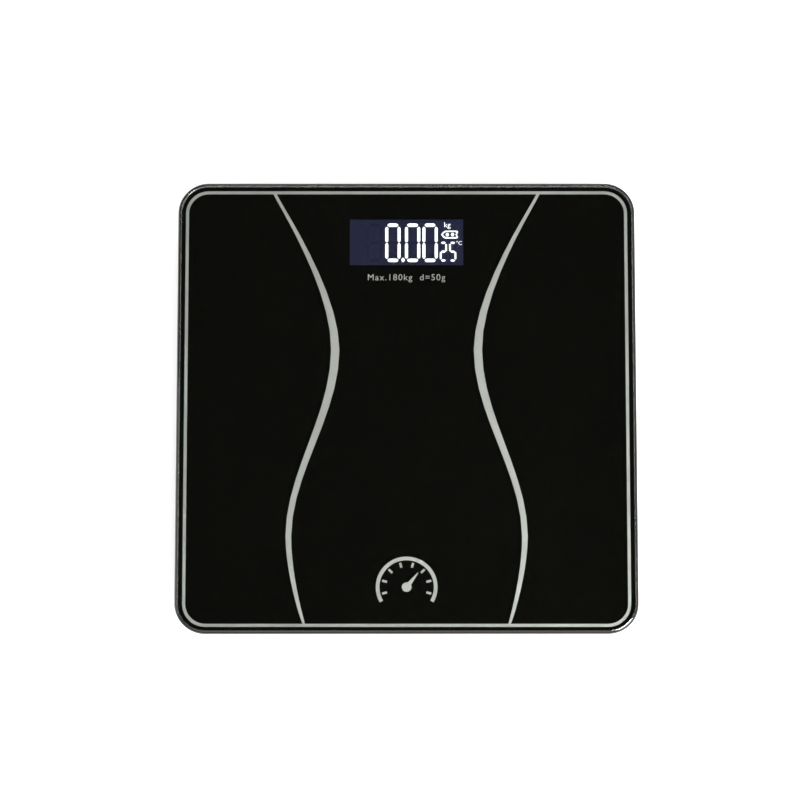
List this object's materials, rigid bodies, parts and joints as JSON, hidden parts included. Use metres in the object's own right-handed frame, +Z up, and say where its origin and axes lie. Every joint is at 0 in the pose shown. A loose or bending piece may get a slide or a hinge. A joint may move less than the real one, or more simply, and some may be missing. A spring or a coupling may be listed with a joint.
{
  "type": "digital bathroom scale",
  "caption": "Square glass-topped electronic bathroom scale with a segment display and sprung load-cell feet.",
  "frame": {"origin": "on the ground under the middle of the platform", "axes": "+Z up through the glass, +Y towards the display edge, +X to the right of a person who faces the display"},
  "size_m": [0.3, 0.3, 0.025],
  "materials": {
    "glass": "polished clear float glass, faintly green at the edge",
    "silver_ink": "satin silver ink under the glass",
    "black_enamel": "glossy black fired enamel under the glass",
    "foam_tape": "closed-cell foam tape",
    "base_plastic": "fine textured black ABS",
    "lcd_glass": "dark indigo negative segment display",
    "white_plastic": "white moulded plastic",
    "light_guide": "clear acrylic light guide",
    "led": "side-emitting lamp package",
    "zebra_rubber": "striped conductive silicone",
    "board_green": "green solder mask",
    "chip_black": "moulded epoxy with tinned leads",
    "component_body": "tan ceramic and metal components",
    "screw_steel": "zinc plated",
    "switch_steel": "pressed steel shell",
    "black_plastic": "black nylon",
    "button_plastic": "satin dark grey plastic",
    "battery_jacket": "plain two-colour jacket",
    "contact_metal": "nickel plated spring steel",
    "lead_red": "insulated lead",
    "lid_plastic": "fine textured black ABS",
    "pad_rubber": "grooved dark rubber",
    "cup_plastic": "satin black plastic",
    "cell_steel": "nickel plated alloy steel",
    "gauge_silicone": "white silicone over the gauge",
    "wire_red": "thin insulated wires"
  },
  "bodies": {
    "base": {"glass_platform": "glass", "silver_print": "silver_ink", "black_print": "black_enamel", "platform_tape": "foam_tape", "base_housing": "base_plastic", "lcd_panel": "lcd_glass", "lcd_frame": "white_plastic", "backlight_guide": "light_guide", "backlight_leds": "led", "zebra_strip": "zebra_rubber", "main_board": "board_green", "controller_chip": "chip_black", "board_components": "component_body", "board_screws": "screw_steel", "unit_switch": "switch_steel", "battery_cell_front": "battery_jacket", "battery_cell_rear": "battery_jacket", "battery_springs": "contact_metal", "battery_contacts": "contact_metal", "battery_leads": "lead_red", "load_cell_front_left": "cell_steel", "strain_gauge_front_left": "gauge_silicone", "cell_seat_front_left": "black_plastic", "cell_wires_front_left": "wire_red", "load_cell_front_right": "cell_steel", "strain_gauge_front_right": "gauge_silicone", "cell_seat_front_right": "black_plastic", "cell_wires_front_right": "wire_red", "load_cell_rear_left": "cell_steel", "strain_gauge_rear_left": "gauge_silicone", "cell_seat_rear_left": "black_plastic", "cell_wires_rear_left": "wire_red", "load_cell_rear_right": "cell_steel", "strain_gauge_rear_right": "gauge_silicone", "cell_seat_rear_right": "black_plastic", "cell_wires_rear_right": "wire_red", "seat_tapes": "foam_tape", "seat_screws": "screw_steel"},
    "foot_front_left": {"foot_pad_front_left": "pad_rubber", "foot_cup_front_left": "cup_plastic"},
    "foot_front_right": {"foot_pad_front_right": "pad_rubber", "foot_cup_front_right": "cup_plastic"},
    "foot_rear_left": {"foot_pad_rear_left": "pad_rubber", "foot_cup_rear_left": "cup_plastic"},
    "foot_rear_right": {"foot_pad_rear_right": "pad_rubber", "foot_cup_rear_right": "cup_plastic"},
    "unit_button": {"unit_button": "button_plastic", "unit_switch_plunger": "black_plastic"},
    "battery_lid": {"battery_lid": "lid_plastic"}
  },
  "joints": [
    {"name": "foot_front_left_give", "type": "slide", "parent": "base", "child": "foot_front_left", "axis": [0, 0, 1], "range_m": [0, 0.0005], "stiffness_N_per_m": 8000, "springref_m": -0.001, "deforming": ["load_cell_front_left"]},
    {"name": "foot_front_right_give", "type": "slide", "parent": "base", "child": "foot_front_right", "axis": [0, 0, 1], "range_m": [0, 0.0005], "stiffness_N_per_m": 8000, "springref_m": -0.001, "deforming": ["load_cell_front_right"]},
    {"name": "foot_rear_left_give", "type": "slide", "parent": "base", "child": "foot_rear_left", "axis": [0, 0, 1], "range_m": [0, 0.0005], "stiffness_N_per_m": 8000, "springref_m": -0.001, "deforming": ["load_cell_rear_left"]},
    {"name": "foot_rear_right_give", "type": "slide", "parent": "base", "child": "foot_rear_right", "axis": [0, 0, 1], "range_m": [0, 0.0005], "stiffness_N_per_m": 8000, "springref_m": -0.001, "deforming": ["load_cell_rear_right"]},
    {"name": "unit_button_press", "type": "slide", "parent": "base", "child": "unit_button", "axis": [0, 0, 1], "range_m": [0, 0.0004], "stiffness_N_per_m": 2500, "springref_m": -0.0002},
    {"name": "battery_lid_hinge", "type": "hinge", "parent": "base", "child": "battery_lid", "pos_m": [0, 0.069, 0.004], "axis": [1, 0, 0], "range_deg": [0, 80]}
  ]
}
